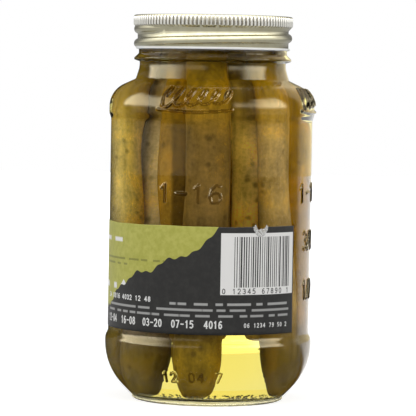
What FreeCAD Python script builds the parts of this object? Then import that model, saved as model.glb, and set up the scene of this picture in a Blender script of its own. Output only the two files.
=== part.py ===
"""A wide-mouth glass jar of drink with a one-piece metal screw cap and a wrap-round label.

Millimetres, +Z up. The origin is at the middle of the ring that the jar stands on, and the
front of the jar faces -Y. Angles about the jar run anticlockwise seen from above, from +X.
"""
import FreeCAD, Part
import math
import os
import re
import Sketcher

Vector = FreeCAD.Vector

# Each driving dimension is written once, here. The groups follow the pieces of the jar.
SIZES = [
    # glass: outside of the body, from the bottom up
    ("panel_radius", 44.68),
    ("bearing_inset", 11.68),
    ("bearing_edge", 0.8),
    ("bearing_width", 3.5),
    ("punt_height", 2.2),
    ("heel_proud", 1.22),
    ("heel_slope", 45.0),
    ("heel_round", 27.0),
    ("heel_top", 27.4),
    ("heel_step", 2.5),
    ("panel_round", 4.5),
    # glass: outside of the shoulder and the neck, stacked down from the cap
    ("glass_height", 169.5),
    ("finish_radius", 32.85),
    ("rim_round", 1.0),
    ("collar_gap", 1.95),
    ("collar_proud", 2.0),
    ("collar_rise", 0.75),
    ("collar_land", 0.9),
    ("collar_fall", 1.9),
    ("collar_round", 0.55),
    ("neck_relief", 0.45),
    ("neck_run", 2.5),
    ("neck_round", 9.0),
    ("neck_flare", 1.6),
    ("neck_flare_run", 5.2),
    ("neck_foot_round", 0.9),
    ("shoulder_depth", 15.2),
    ("shoulder_proud", 0.82),
    ("shoulder_slope", 25.0),
    ("shoulder_round", 11.0),
    ("shoulder_step", 2.3),
    # glass: inside
    ("glass_wall", 3.0),
    ("heel_wall", 4.2),
    ("floor_thickness", 4.4),
    ("floor_crown", 1.2),
    ("inner_heel_round", 18.0),
    ("floor_round", 6.0),
    ("shoulder_wall", 3.2),
    ("inner_shoulder_round", 9.0),
    ("finish_wall", 3.25),
    ("mouth_round", 7.0),
    # drink
    ("fill_drop", 11.3),
    ("fill_gap", 0.1),
    # cap: drawn shell
    ("sheet", 0.25),
    ("seal_gap", 0.3),
    ("skirt_gap", 0.4),
    ("skirt_reach", 13.95),
    ("crest_proud", 1.85),
    ("crown_drop", 4.25),
    ("crown_run", 2.0),
    ("crown_round", 1.0),
    ("stack_inset", 0.6),
    ("stack_depth", 0.6),
    ("curl_radius", 0.55),
    # cap: knurls
    ("knurl_count", 120),
    ("knurl_depth", 0.35),
    ("knurl_round", 0.8),
    # cap: rolled thread
    ("thread_pitch", 6.35),
    ("thread_height", 1.6),
    ("thread_round", 2.05),
    ("thread_lift", 1.7),
    ("thread_start", 170.0),
    ("thread_turns", 1.08),
    ("thread_fade_round", 25.0),
    ("thread_fade_angle", 46.0),
    # label
    ("label_rise", 2.4),
    ("label_height", 46.8),
    ("label_sheet", 0.12),
    ("label_gap", 0.04),
    ("label_start", 9.6),
    ("label_sweep", 315.0),
    ("tear_angle", 299.3),
    ("tear_width", 6.2),
    ("tear_depth", 3.4),
]
ALIASES = {name for name, _ in SIZES}


def make_sheet(doc):
    """The spreadsheet that holds the driving dimensions."""
    sheet = doc.addObject("Spreadsheet::Sheet", "Sizes")
    for row, (name, number) in enumerate(SIZES, start=1):
        sheet.set(f"A{row}", name.replace("_", " "))
        sheet.set(f"B{row}", str(number))
        sheet.setAlias(f"B{row}", name)
    doc.recompute()
    return sheet


def bound(formula):
    """The formula with each size written as the cell that holds it."""
    return re.sub(r"[a-z]\w*", lambda word: f"Sizes.{word[0]}" if word[0] in ALIASES else word[0], formula)


class Builder:
    """The document, its sheet, and the few steps that all the pieces share."""

    def __init__(self):
        self.doc = FreeCAD.newDocument("JarOfDrink")
        self.sheet = make_sheet(self.doc)
        self.pieces = []

    def size(self, formula):
        return float(self.sheet.evalExpression(bound(formula)))

    def body(self, label):
        body = self.doc.addObject("PartDesign::Body", "Body_" + label)
        body.Label = label
        self.pieces.append(body)
        return body

    def sketch(self, body, name, plane="XZ_Plane", turn="0", lift="0"):
        """A sketch on one of the body's own planes.

        On the XZ plane it is turned about the jar's axis, and on the XY plane it is lifted.
        """
        sketch = body.newObject("Sketcher::SketchObject", name)
        support = next(item for item in body.Origin.OriginFeatures if item.Role == plane)
        sketch.AttachmentSupport = [(support, "")]
        sketch.MapMode = "FlatFace"
        sketch.setExpression("AttachmentOffset.Base.z", bound(lift))
        if plane == "XZ_Plane":
            sketch.AttachmentOffset = FreeCAD.Placement(Vector(), FreeCAD.Rotation(Vector(0, 1, 0), 1))
            sketch.setExpression("AttachmentOffset.Rotation.Angle", bound(turn))
        return sketch

    def place_point(self, sketch, geometry, end, name, across, up):
        """Ties a point of a sketch to its formulas for the distances across and up."""
        for kind, axis, formula in (("DistanceX", -2, across), ("DistanceY", -1, up)):
            number = self.size(formula)
            if abs(number) < 1e-9:
                sketch.addConstraint(Sketcher.Constraint("PointOnObject", geometry, end, axis))
                continue
            index = sketch.addConstraint(Sketcher.Constraint(kind, -1, 1, geometry, end, number))
            label = f"{name}_{kind[-1].lower()}"
            sketch.renameConstraint(index, label)
            sketch.setExpression(f"Constraints.{label}", bound(formula))

    def outline(self, sketch, corners):
        """A closed outline of straight sides. Each corner is (name, across, up)."""
        points = [Vector(self.size(across), self.size(up), 0) for _, across, up in corners]
        count = len(points)
        for index, point in enumerate(points):
            sketch.addGeometry(Part.LineSegment(point, points[(index + 1) % count]), False)
        for index in range(count):
            follower = (index + 1) % count
            sketch.addConstraint(Sketcher.Constraint("Coincident", index, 2, follower, 1))
        for index, (name, across, up) in enumerate(corners):
            self.place_point(sketch, index, 1, name, across, up)

    def circle(self, sketch, name, across, up, radius):
        """A circle in a sketch, tied to the sheet."""
        centre = Vector(self.size(across), self.size(up), 0)
        round_edge = Part.Circle(centre, Vector(0, 0, 1), self.size(radius))
        index = sketch.addGeometry(round_edge, False)
        self.place_point(sketch, index, 3, name, across, up)
        rule = sketch.addConstraint(Sketcher.Constraint("Radius", index, self.size(radius)))
        sketch.renameConstraint(rule, name + "_radius")
        sketch.setExpression(f"Constraints.{name}_radius", bound(radius))

    def join(self, name, items):
        """Several solids fused into one."""
        fused = self.doc.addObject("Part::MultiFuse", name)
        fused.Shapes = items
        fused.Refine = False
        self.doc.recompute()
        return fused

    def turned(self, body, name, sketch, kind="PartDesign::Revolution", axis="V_Axis", sweep="360"):
        """A profile turned about an axis of its sketch."""
        feature = body.newObject(kind, name)
        feature.Profile = sketch
        feature.ReferenceAxis = (sketch, [axis])
        feature.setExpression("Angle", bound(sweep))
        self.doc.recompute()
        return feature

    def round_rings(self, body, rounds):
        """Fillets on the circular edges of a turned piece: each is (name, across, up, radius)."""
        for name, across, up, radius in rounds:
            base = body.Tip
            edges = ring_edges(base.Shape, self.size(across), self.size(up))
            if not edges:
                raise RuntimeError(f"{body.Label}: no ring edge for {name}")
            fillet = body.newObject("PartDesign::Fillet", name)
            fillet.Base = (base, edges)
            fillet.setExpression("Radius", bound(radius))
            self.doc.recompute()


def stand(item, across, turn, up, roll="0"):
    """Stands an object at a distance from the jar's axis, turned about the axis, at a height."""
    angle = f"({turn}) * 1deg"
    spot = f"vector(({across}) * cos({angle}); ({across}) * sin({angle}); {up})"
    item.setExpression("Placement", bound(f"placement({spot}; rotation({turn}; 0; {roll}))"))


def ring_edges(shape, radius, height):
    """Names of the circular edges about the jar's axis at this radius and height."""
    names = []
    for index, edge in enumerate(shape.Edges, start=1):
        curve = edge.Curve
        if not isinstance(curve, Part.Circle):
            continue
        centre = curve.Center
        on_axis = math.hypot(centre.x, centre.y) < 1e-4
        if on_axis and abs(curve.Radius - radius) < 1e-3 and abs(centre.z - height) < 1e-3:
            names.append(f"Edge{index}")
    return names


# Radii of the glass, from the panel of the body and from the finish that the cap screws on.
HEEL_RADIUS = "(panel_radius + heel_proud)"
SHOULDER_RADIUS = "(panel_radius + shoulder_proud)"
BEARING_RADIUS = "(panel_radius - bearing_inset)"
PUNT_RADIUS = "(panel_radius - bearing_inset - bearing_width)"
INNER_RADIUS = "(panel_radius - glass_wall)"
NECK_RADIUS = "(finish_radius - neck_relief)"
NECK_FOOT_RADIUS = "(finish_radius - neck_relief + neck_flare)"
COLLAR_RADIUS = "(finish_radius + collar_proud)"
MOUTH_RADIUS = "(finish_radius - finish_wall)"

# Heights and radii of the cap, worked out from the glass that it closes.
CAP_TOP = "(glass_height + seal_gap + sheet)"
CAP_INSIDE = "(glass_height + seal_gap)"
CAP_FOOT = f"({CAP_TOP} - skirt_reach - curl_radius)"
SKIRT_INNER = "(finish_radius + skirt_gap)"
SKIRT_OUTER = "(finish_radius + skirt_gap + sheet)"
CURL_CENTRE = f"({SKIRT_OUTER} + curl_radius - 2 * sheet)"
CREST_RADIUS = f"({SKIRT_OUTER} + crest_proud)"
CROWN_LOW = f"({CAP_TOP} - crown_drop)"
CROWN_FOOT = f"({CAP_TOP} - crown_drop - crown_run)"
CROWN_INNER = f"({CREST_RADIUS} - knurl_depth - sheet)"
STACK_RADIUS = f"({MOUTH_RADIUS} - stack_inset)"
THREAD_CENTRE = f"({SKIRT_OUTER} + thread_height - thread_round)"
THREAD_LOW = f"({CAP_FOOT} + thread_lift)"
# where a flat sheet bends down at 45 degrees, its underside bends this much further out
SLOPE_SHIFT = "(sheet * tan(22.5deg))"

# Heights of the glass. The collar stands clear below the cap, and the rest hangs from it.
COLLAR_TOP = f"({CAP_FOOT} - curl_radius - collar_gap)"
COLLAR_LAND_HIGH = f"({COLLAR_TOP} - collar_fall)"
COLLAR_LAND_LOW = f"({COLLAR_LAND_HIGH} - collar_land)"
COLLAR_LOW = f"({COLLAR_LAND_LOW} - collar_rise)"
NECK_LOW = f"({COLLAR_LOW} - neck_run)"
NECK_FOOT = f"({NECK_LOW} - neck_flare_run)"
SHOULDER_LOW = f"({NECK_FOOT} - shoulder_depth)"
PANEL_HIGH = f"({SHOULDER_LOW} - shoulder_step)"
PANEL_LOW = "(heel_top + heel_step)"
HEEL_TAN = "tan(heel_slope * 1deg)"
SHOULDER_TAN = "tan(shoulder_slope * 1deg)"
HEEL_CORNER = f"(bearing_edge + ({HEEL_RADIUS} - {BEARING_RADIUS}) * {HEEL_TAN})"
SHOULDER_CORNER = f"({NECK_FOOT} - ({SHOULDER_RADIUS} - {NECK_FOOT_RADIUS}) * {SHOULDER_TAN})"
FILL_LEVEL = "(glass_height - fill_drop)"
LABEL_LOW = f"({PANEL_LOW} + label_rise)"

# A fillet takes at most its share of the shorter side next to it, so that it still fits.
HEEL_BEND = "tan(45deg - heel_slope * 0.5deg)"
SHOULDER_BEND = "tan(45deg - shoulder_slope * 0.5deg)"
HEEL_LIMIT = f"(0.85 * (heel_top - {HEEL_CORNER}) / {HEEL_BEND})"
SHOULDER_LIMIT = f"(0.8 * ({SHOULDER_CORNER} - {SHOULDER_LOW}) / {SHOULDER_BEND})"
ROOF_RUN = f"(({SHOULDER_RADIUS} - {NECK_FOOT_RADIUS}) / cos(shoulder_slope * 1deg))"
ROOF_LIMIT = f"(0.9 * {ROOF_RUN} / {SHOULDER_BEND})"
NECK_LIMIT = "(3.6 * neck_run)"
INNER_ROOF_RUN = f"(({INNER_RADIUS} - {MOUTH_RADIUS}) / cos(shoulder_slope * 1deg))"
INNER_ROOF_LIMIT = f"(0.45 * {INNER_ROOF_RUN} / {SHOULDER_BEND})"


def cavity(inset, top):
    """Corners of the hollow of the glass, taken in by a gap all round, up to a given height."""
    wall = f"({INNER_RADIUS} - {inset})"
    mouth = f"({MOUTH_RADIUS} - {inset})"
    floor = f"(floor_thickness + {inset})"
    # the sloping inside of the heel runs parallel to the outside, one heel wall in
    heel_shift = "(heel_wall / sin(heel_slope * 1deg))"
    floor_run = f"((floor_thickness - bearing_edge) / {HEEL_TAN})"
    floor_edge = f"({BEARING_RADIUS} - {heel_shift} + {floor_run} - {inset})"
    heel_corner = f"({floor} + ({wall} - {floor_edge}) * {HEEL_TAN})"
    # so does the sloping inside of the shoulder
    shoulder_drop = "(shoulder_wall / cos(shoulder_slope * 1deg))"
    roof_drop = f"(({wall} - {NECK_FOOT_RADIUS}) * {SHOULDER_TAN})"
    shoulder_corner = f"({NECK_FOOT} - {shoulder_drop} - {roof_drop} - {inset})"
    mouth_foot = f"({shoulder_corner} + ({wall} - {mouth}) * {SHOULDER_TAN})"
    return {
        "centre": ("0", f"{floor} + floor_crown"),
        "floor_edge": (floor_edge, floor),
        "heel": (wall, heel_corner),
        "shoulder": (wall, shoulder_corner),
        "mouth": (mouth, mouth_foot),
        "rim": (mouth, top),
        "axis": ("0", top),
    }


def cavity_rounds(corners):
    """The fillets of that hollow, or of what fills it."""
    radii = {
        "floor_edge": "floor_round",
        "heel": "inner_heel_round",
        "shoulder": f"min(inner_shoulder_round; {INNER_ROOF_LIMIT})",
        "mouth": f"min(mouth_round; {INNER_ROOF_LIMIT})",
    }
    return [(name + "_inner_round", *corners[name], radius) for name, radius in radii.items()]


def named(corners):
    return [(name, across, up) for name, (across, up) in corners.items()]


def make_glass(kit):
    """The jar: outside turned from a profile, hollow cut, every ring edge rounded."""
    body = kit.body("glass_jar")
    outside = kit.sketch(body, "GlassOutside")
    kit.outline(outside, [
        ("punt_centre", "0", "punt_height"),
        ("punt_edge", PUNT_RADIUS, "0"),
        ("bearing", BEARING_RADIUS, "0"),
        ("bearing_top", BEARING_RADIUS, "bearing_edge"),
        ("heel", HEEL_RADIUS, HEEL_CORNER),
        ("heel_high", HEEL_RADIUS, "heel_top"),
        ("panel_foot", "panel_radius", PANEL_LOW),
        ("panel_head", "panel_radius", PANEL_HIGH),
        ("shoulder_foot", SHOULDER_RADIUS, SHOULDER_LOW),
        ("shoulder", SHOULDER_RADIUS, SHOULDER_CORNER),
        ("neck_foot", NECK_FOOT_RADIUS, NECK_FOOT),
        ("neck", NECK_RADIUS, NECK_LOW),
        ("collar_foot", NECK_RADIUS, COLLAR_LOW),
        ("collar_under", COLLAR_RADIUS, COLLAR_LAND_LOW),
        ("collar_over", COLLAR_RADIUS, COLLAR_LAND_HIGH),
        ("collar_head", "finish_radius", COLLAR_TOP),
        ("rim_outer", "finish_radius", "glass_height"),
        ("rim_axis", "0", "glass_height"),
    ])
    kit.turned(body, "GlassTurned", outside)

    hollow = kit.sketch(body, "GlassHollow")
    corners = cavity("0", "glass_height + 5")
    kit.outline(hollow, named(corners))
    before = body.Shape.Volume
    kit.turned(body, "GlassCavity", hollow, kind="PartDesign::Groove")
    if not body.Shape.Volume < before - 1:
        raise RuntimeError("glass_jar: the hollow cut nothing")

    kit.round_rings(body, cavity_rounds(corners))
    shoulder_round = f"min(shoulder_round; {SHOULDER_LIMIT}; {ROOF_LIMIT})"
    kit.round_rings(body, [
        ("HeelRound", HEEL_RADIUS, HEEL_CORNER, f"min(heel_round; {HEEL_LIMIT})"),
        ("BearingRound", BEARING_RADIUS, "bearing_edge", "bearing_edge"),
        ("HeelTopRound", HEEL_RADIUS, "heel_top", "panel_round"),
        ("PanelFootRound", "panel_radius", PANEL_LOW, "panel_round"),
        ("PanelHeadRound", "panel_radius", PANEL_HIGH, "panel_round"),
        ("ShoulderFootRound", SHOULDER_RADIUS, SHOULDER_LOW, "panel_round"),
        ("ShoulderRound", SHOULDER_RADIUS, SHOULDER_CORNER, shoulder_round),
        ("NeckFootRound", NECK_FOOT_RADIUS, NECK_FOOT, "neck_foot_round"),
        ("NeckRound", NECK_RADIUS, NECK_LOW, f"min(neck_round; {NECK_LIMIT})"),
        ("CollarUnderRound", COLLAR_RADIUS, COLLAR_LAND_LOW, "collar_round * 0.8"),
        ("CollarOverRound", COLLAR_RADIUS, COLLAR_LAND_HIGH, "collar_round"),
        ("CollarHeadRound", "finish_radius", COLLAR_TOP, "collar_round"),
        ("RimOuterRound", "finish_radius", "glass_height", "rim_round"),
        ("RimInnerRound", MOUTH_RADIUS, "glass_height", "rim_round"),
    ])


def make_drink(kit):
    """The drink: the hollow of the glass up to the fill level, a hair smaller all round."""
    body = kit.body("drink")
    profile = kit.sketch(body, "DrinkProfile")
    corners = cavity("fill_gap", FILL_LEVEL)
    kit.outline(profile, named(corners))
    kit.turned(body, "DrinkTurned", profile)
    kit.round_rings(body, cavity_rounds(corners))


def make_cap(kit):
    """The cap: a drawn shell with a knurled crown, a rolled thread and a curled lower edge."""
    outer = kit.join("CapOuter", [cap_blank(kit)] + roll_thread(kit, "Bead", "thread_round"))
    inner = kit.join("CapInner", [cap_inside(kit)] + roll_thread(kit, "Hollow", "thread_round - sheet"))
    shell = kit.doc.addObject("Part::Cut", "CapShell")
    shell.Base = outer
    shell.Tool = inner
    shell.Refine = False
    curl = kit.doc.addObject("Part::Torus", "CapCurl")
    curl.setExpression("Radius1", bound(CURL_CENTRE))
    curl.setExpression("Radius2", bound("curl_radius"))
    curl.setExpression("Placement.Base.z", bound(CAP_FOOT))
    kit.doc.recompute()
    cap = kit.join("Cap", [shell, curl])
    cap.Label = "cap"
    kit.pieces.append(cap)


def cap_blank(kit):
    """The outside of the cap without its thread: a solid cup with a knurled crown."""
    body = kit.doc.addObject("PartDesign::Body", "CapBlank")
    profile = kit.sketch(body, "CapBlankProfile")
    kit.outline(profile, [
        ("foot_axis", "0", CAP_FOOT),
        ("foot", SKIRT_OUTER, CAP_FOOT),
        ("crown_foot", SKIRT_OUTER, CROWN_FOOT),
        ("crown_low", CREST_RADIUS, CROWN_LOW),
        ("crown_high", CREST_RADIUS, CAP_TOP),
        ("stack_high", f"{STACK_RADIUS} + stack_depth", CAP_TOP),
        ("stack_low", STACK_RADIUS, f"{CAP_TOP} - stack_depth"),
        ("top_axis", "0", f"{CAP_TOP} - stack_depth"),
    ])
    kit.turned(body, "CapBlankTurned", profile)
    kit.round_rings(body, [("CrownRound", CREST_RADIUS, CAP_TOP, "crown_round")])

    flute = kit.sketch(body, "KnurlFlute", plane="XY_Plane", lift=f"{CROWN_LOW} - crown_run / 2")
    kit.circle(flute, "flute", f"{CREST_RADIUS} - knurl_depth + knurl_round", "0", "knurl_round")
    before = body.Shape.Volume
    pocket = body.newObject("PartDesign::Pocket", "KnurlPocket")
    pocket.Profile = flute
    pocket.Reversed = True
    pocket.setExpression("Length", bound("crown_drop + crown_run"))
    kit.doc.recompute()
    if not body.Shape.Volume < before - 1e-3:
        raise RuntimeError("cap: the flute cut nothing")
    pattern = body.newObject("PartDesign::PolarPattern", "Knurls")
    pattern.Originals = [pocket]
    pattern.Axis = (flute, ["N_Axis"])
    pattern.Angle = 360
    pattern.setExpression("Occurrences", bound("knurl_count"))
    body.Tip = pattern
    kit.doc.recompute()
    return body


def cap_inside(kit):
    """The inside of the cap without its thread, a sheet thickness in from the outside."""
    body = kit.doc.addObject("PartDesign::Body", "CapInside")
    profile = kit.sketch(body, "CapInsideProfile")
    kit.outline(profile, [
        ("below_axis", "0", f"{CAP_FOOT} - 5"),
        ("below", SKIRT_INNER, f"{CAP_FOOT} - 5"),
        ("crown_foot", SKIRT_INNER, CROWN_FOOT),
        ("crown_low", CROWN_INNER, CROWN_LOW),
        ("crown_high", CROWN_INNER, CAP_INSIDE),
        ("stack_high", f"{STACK_RADIUS} + stack_depth + {SLOPE_SHIFT}", CAP_INSIDE),
        ("stack_low", f"{STACK_RADIUS} + {SLOPE_SHIFT}", f"{CAP_INSIDE} - stack_depth"),
        ("top_axis", "0", f"{CAP_INSIDE} - stack_depth"),
    ])
    kit.turned(body, "CapInsideTurned", profile)
    return body


def roll_thread(kit, name, radius):
    """A rope of this radius along the cap's thread, faded into the skirt at both ends.

    The rope is swept along a helix, and at each end an arc carries it in under the skirt.
    """
    start = "thread_start"
    finish = "(thread_start + thread_turns * 360)"
    rise = "(thread_turns * thread_pitch)"
    helix = kit.doc.addObject("Part::Helix", name + "Path")
    helix.setExpression("Radius", bound(THREAD_CENTRE))
    helix.setExpression("Pitch", bound("thread_pitch"))
    helix.setExpression("Height", bound(rise))
    stand(helix, "0", start, THREAD_LOW)
    rope = kit.doc.addObject("Part::Sweep", name + "Rope")
    rope.Sections = [rope_section(kit, name + "Start", start, THREAD_LOW, radius)]
    rope.Spine = helix
    rope.Solid = True
    rope.Frenet = True
    ends = []
    for end, turn, height, sense in (
        ("In", start, THREAD_LOW, "-1"),
        ("Out", finish, f"({THREAD_LOW} + {rise})", "1"),
    ):
        fade = kit.doc.addObject("Part::Revolution", f"{name}Fade{end}")
        fade.Source = rope_section(kit, f"{name}{end}", turn, height, radius)
        fade.Axis = Vector(0, 0, 1)
        fade.Solid = True
        reach = f"({THREAD_CENTRE} - thread_fade_round)"
        fade.setExpression("Base.x", bound(f"{reach} * cos({turn} * 1deg)"))
        fade.setExpression("Base.y", bound(f"{reach} * sin({turn} * 1deg)"))
        fade.setExpression("Angle", bound(f"{sense} * thread_fade_angle"))
        ends.append(fade)
    kit.doc.recompute()
    return [rope] + ends


def rope_section(kit, name, turn, height, radius):
    """The rope's round section, upright in the plane through the cap's axis at this angle."""
    section = kit.doc.addObject("Part::Circle", name)
    section.setExpression("Radius", bound(radius))
    stand(section, THREAD_CENTRE, turn, height, roll="90")
    return section


def make_label(kit):
    """The label: a thin skin wrapped most of the way round the panel, torn at its top edge."""
    body = kit.body("label")
    inner = "(panel_radius + label_gap)"
    outer = "(panel_radius + label_gap + label_sheet)"
    top = f"({LABEL_LOW} + label_height)"
    band = kit.sketch(body, "LabelSection", turn="label_start")
    kit.outline(band, [
        ("low_inner", inner, LABEL_LOW),
        ("low_outer", outer, LABEL_LOW),
        ("high_outer", outer, top),
        ("high_inner", inner, top),
    ])
    kit.turned(body, "LabelWrapped", band, sweep="label_sweep")

    tear = kit.sketch(body, "LabelTear", turn="tear_angle + 90")
    kit.outline(tear, [
        ("left_high", "-0.56 * tear_width", f"{top} + tear_depth"),
        ("left", "-0.44 * tear_width", f"{top} - 0.15 * tear_depth"),
        ("left_low", "-0.24 * tear_width", f"{top} - 0.82 * tear_depth"),
        ("lowest", "0.06 * tear_width", f"{top} - tear_depth"),
        ("right_low", "0.27 * tear_width", f"{top} - 0.62 * tear_depth"),
        ("right", "0.42 * tear_width", f"{top} - 0.3 * tear_depth"),
        ("right_high", "0.52 * tear_width", f"{top} + tear_depth"),
    ])
    pocket = body.newObject("PartDesign::Pocket", "LabelNotch")
    pocket.Profile = tear
    pocket.Reversed = True
    pocket.setExpression("Length", bound(f"{outer} + label_sheet"))
    before = body.Shape.Volume
    kit.doc.recompute()
    if not body.Shape.Volume < before - 1e-3:
        raise RuntimeError("label: the tear cut nothing")


def check(kit):
    """Every feature worked, and every piece is one valid solid."""
    for item in kit.doc.Objects:
        if "Invalid" in item.State or "Error" in item.State:
            raise RuntimeError(f"{item.Name} ({item.Label}) failed: {item.State}")
    for body in kit.pieces:
        shape = body.Shape
        if shape.isNull() or not shape.isValid():
            raise RuntimeError(f"{body.Label}: shape is null or not valid")
        if len(shape.Solids) != 1:
            raise RuntimeError(f"{body.Label}: {len(shape.Solids)} solids")


def main():
    kit = Builder()
    make_glass(kit)
    make_drink(kit)
    make_cap(kit)
    make_label(kit)
    kit.doc.recompute()
    check(kit)
    os.makedirs("parts", exist_ok=True)
    for body in kit.pieces:
        body.Shape.exportStep(f"parts/{body.Label}.step")
        box = body.Shape.BoundBox
        print(f"{body.Label}: {body.Shape.Volume / 1000:.2f} ml, z {box.ZMin:.2f} to {box.ZMax:.2f}")


main()
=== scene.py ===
import math

import bmesh
import bpy
import numpy as np
from mathutils import Euler, Matrix, Vector


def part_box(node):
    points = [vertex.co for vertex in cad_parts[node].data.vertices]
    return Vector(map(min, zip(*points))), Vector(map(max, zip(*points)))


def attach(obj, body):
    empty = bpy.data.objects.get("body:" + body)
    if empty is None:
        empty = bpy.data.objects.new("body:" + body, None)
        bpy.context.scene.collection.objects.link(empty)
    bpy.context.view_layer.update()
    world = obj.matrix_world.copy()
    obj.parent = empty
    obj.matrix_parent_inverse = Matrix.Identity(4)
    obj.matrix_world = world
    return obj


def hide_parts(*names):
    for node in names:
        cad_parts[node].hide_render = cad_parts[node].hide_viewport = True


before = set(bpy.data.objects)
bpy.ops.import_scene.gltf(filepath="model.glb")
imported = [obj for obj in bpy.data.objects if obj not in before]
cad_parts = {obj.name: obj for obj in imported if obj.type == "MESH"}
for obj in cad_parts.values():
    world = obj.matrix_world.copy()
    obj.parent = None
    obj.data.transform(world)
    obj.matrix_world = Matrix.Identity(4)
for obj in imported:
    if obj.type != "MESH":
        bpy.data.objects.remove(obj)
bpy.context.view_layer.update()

MM = 0.001
TOP_OF_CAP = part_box("cap")[1].z / MM

# ---------------------------------------------------------------- sizes, in millimetres
PUNT_HEIGHT, PUNT_RADIUS = 2.2, 29.5
BEARING_RADIUS, BEARING_EDGE = 33.0, 0.8
HEEL_RADIUS, HEEL_TOP, HEEL_CORNER = 45.9, 27.4, 13.7
PANEL_RADIUS, PANEL_LOW, PANEL_HIGH = 44.68, 29.9, 124.3
SHOULDER_RADIUS, SHOULDER_LOW, SHOULDER_CORNER = 45.5, 126.6, 136.44
NECK_FOOT_RADIUS, NECK_FOOT = 34.0, 141.8
NECK_RADIUS, NECK_LOW = 32.4, 147.0
COLLAR_RADIUS, COLLAR_LOW = 34.85, 149.5
FINISH_RADIUS, GLASS_HEIGHT = 32.85, 169.5
INNER_RADIUS, MOUTH_RADIUS = 41.68, 29.6
RIM_MIDDLE = 31.2
HEEL_WALL, HEEL_SLOPE = 4.2, math.radians(45)
SHOULDER_WALL, SHOULDER_SLOPE = 3.2, math.radians(25)
FLOOR_THICKNESS, FLOOR_CROWN = 4.4, 1.2
# the drink's level, and how far the drink reaches into the wall
FILL_LEVEL, FILL_SEAT = 158.2, 0.12
LABEL_LOW, LABEL_HEIGHT = 32.3, 46.8
LABEL_RADIUS, LABEL_SHEET = 44.84, 0.12
LABEL_END, LABEL_SWEEP = 324.6, 315.0
LABEL_RUN = LABEL_RADIUS * math.radians(LABEL_SWEEP)
# the label's torn notch; its place along the label is measured from the label's right end
TEAR_ANGLE, TEAR_WIDTH, TEAR_DEPTH = 299.3, 6.2, 3.4
TEAR_AT = (LABEL_END - TEAR_ANGLE) * math.radians(1) * LABEL_RADIUS
TEAR_CURVE = 2.6
# knurls round the cap; the shift puts a valley at angle 0, where the cap has one
KNURLS, KNURL_SHIFT = 120, -math.pi / 2
# how far under the cap's top the knurled look, with its painted highlight and painted valley shade, starts to
# fade in, is whole, fades again and ends
CROWN_FADE = (5.1, 4.5, 1.2, 0.5)
# white enamel: the curl up to its height, the inside within its radius and the underside within its own
CURL_HIGH, SKIRT_INSIDE, CAP_UNDERSIDE, DISC_INSIDE = 156.12, 34.9, 169.0, 33.0


# ---------------------------------------------------------------- shader maths
class Sum:
    """A number or colour in a material; sums on it add their own Math nodes."""

    def __init__(self, paint, socket):
        self.paint, self.socket = paint, socket

    def maths(self, kind, *others):
        return self.paint.node("Math", dict(operation=kind), self, *others)

    def __add__(self, other):
        return self.maths("ADD", other)

    __radd__ = __add__

    def __mul__(self, other):
        return self.maths("MULTIPLY", other)

    __rmul__ = __mul__

    def __sub__(self, other):
        return self.maths("SUBTRACT", other)

    def __rsub__(self, other):
        return self.paint.node("Math", dict(operation="SUBTRACT"), other, self)

    def __truediv__(self, other):
        return self.maths("DIVIDE", other)

    def __pow__(self, other):
        return self.maths("POWER", other)

    def __gt__(self, other):
        return self.maths("GREATER_THAN", other)

    def __lt__(self, other):
        return self.maths("LESS_THAN", other)

    def __abs__(self):
        return self.maths("ABSOLUTE")

    def clamp(self):
        return self.paint.node("Clamp", {}, self, 0.0, 1.0)

    def between(self, low, high):
        return (self > low) * (self < high)

    def ramp(self, low, high):
        """0 below low, 1 above high and smooth between them."""
        wide = dict(interpolation_type="SMOOTHSTEP")
        return self.paint.node("MapRange", wide, self, low, high, 0.0, 1.0)

    def span(self, low, full, fade, high):
        """1 from full to fade, easing to 0 at low and at high."""
        return self.ramp(low, full) * (1.0 - self.ramp(fade, high))


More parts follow.
